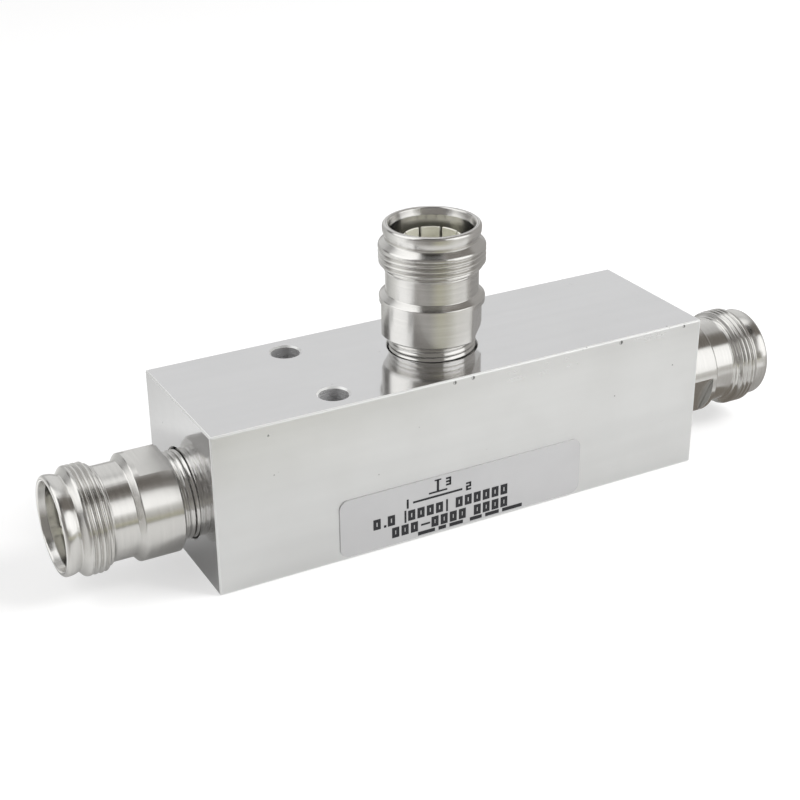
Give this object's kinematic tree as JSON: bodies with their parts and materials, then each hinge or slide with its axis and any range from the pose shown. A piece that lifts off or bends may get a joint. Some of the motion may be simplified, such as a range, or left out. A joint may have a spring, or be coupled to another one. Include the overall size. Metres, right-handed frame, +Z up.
{
  "type": "coaxial tapper",
  "caption": "Coaxial tapper: square aluminium bar with a socket connector in each end, a tap connector in its top face, mounting holes and a low front label.",
  "frame": {"origin": "centre of the bar's bottom face", "axes": "+X along the main line from the input to the output connector, +Y to the back, +Z up along the tap connector; the label is on the -Y side"},
  "size_m": [0.1504, 0.0313, 0.0552],
  "materials": {
    "milled_aluminium": "bright milled",
    "plated_shell": "bright white plating",
    "silver_plate": "silver plated",
    "insulator": "white",
    "seal": "black",
    "foil_label": "satin grey film"
  },
  "bodies": {
    "root": {"housing": "milled_aluminium", "main_conductor": "silver_plate", "tap_conductor": "silver_plate", "support_bead_left": "insulator", "support_bead_right": "insulator", "rating_label": "foil_label", "input_connector_shell": "plated_shell", "input_outer_contact": "silver_plate", "input_centre_contact": "silver_plate", "input_insulator": "insulator", "input_o_ring": "seal", "output_connector_shell": "plated_shell", "output_outer_contact": "silver_plate", "output_centre_contact": "silver_plate", "output_insulator": "insulator", "output_o_ring": "seal", "tap_connector_shell": "plated_shell", "tap_outer_contact": "silver_plate", "tap_centre_contact": "silver_plate", "tap_insulator": "insulator", "tap_o_ring": "seal"}
  },
  "joints": []
}
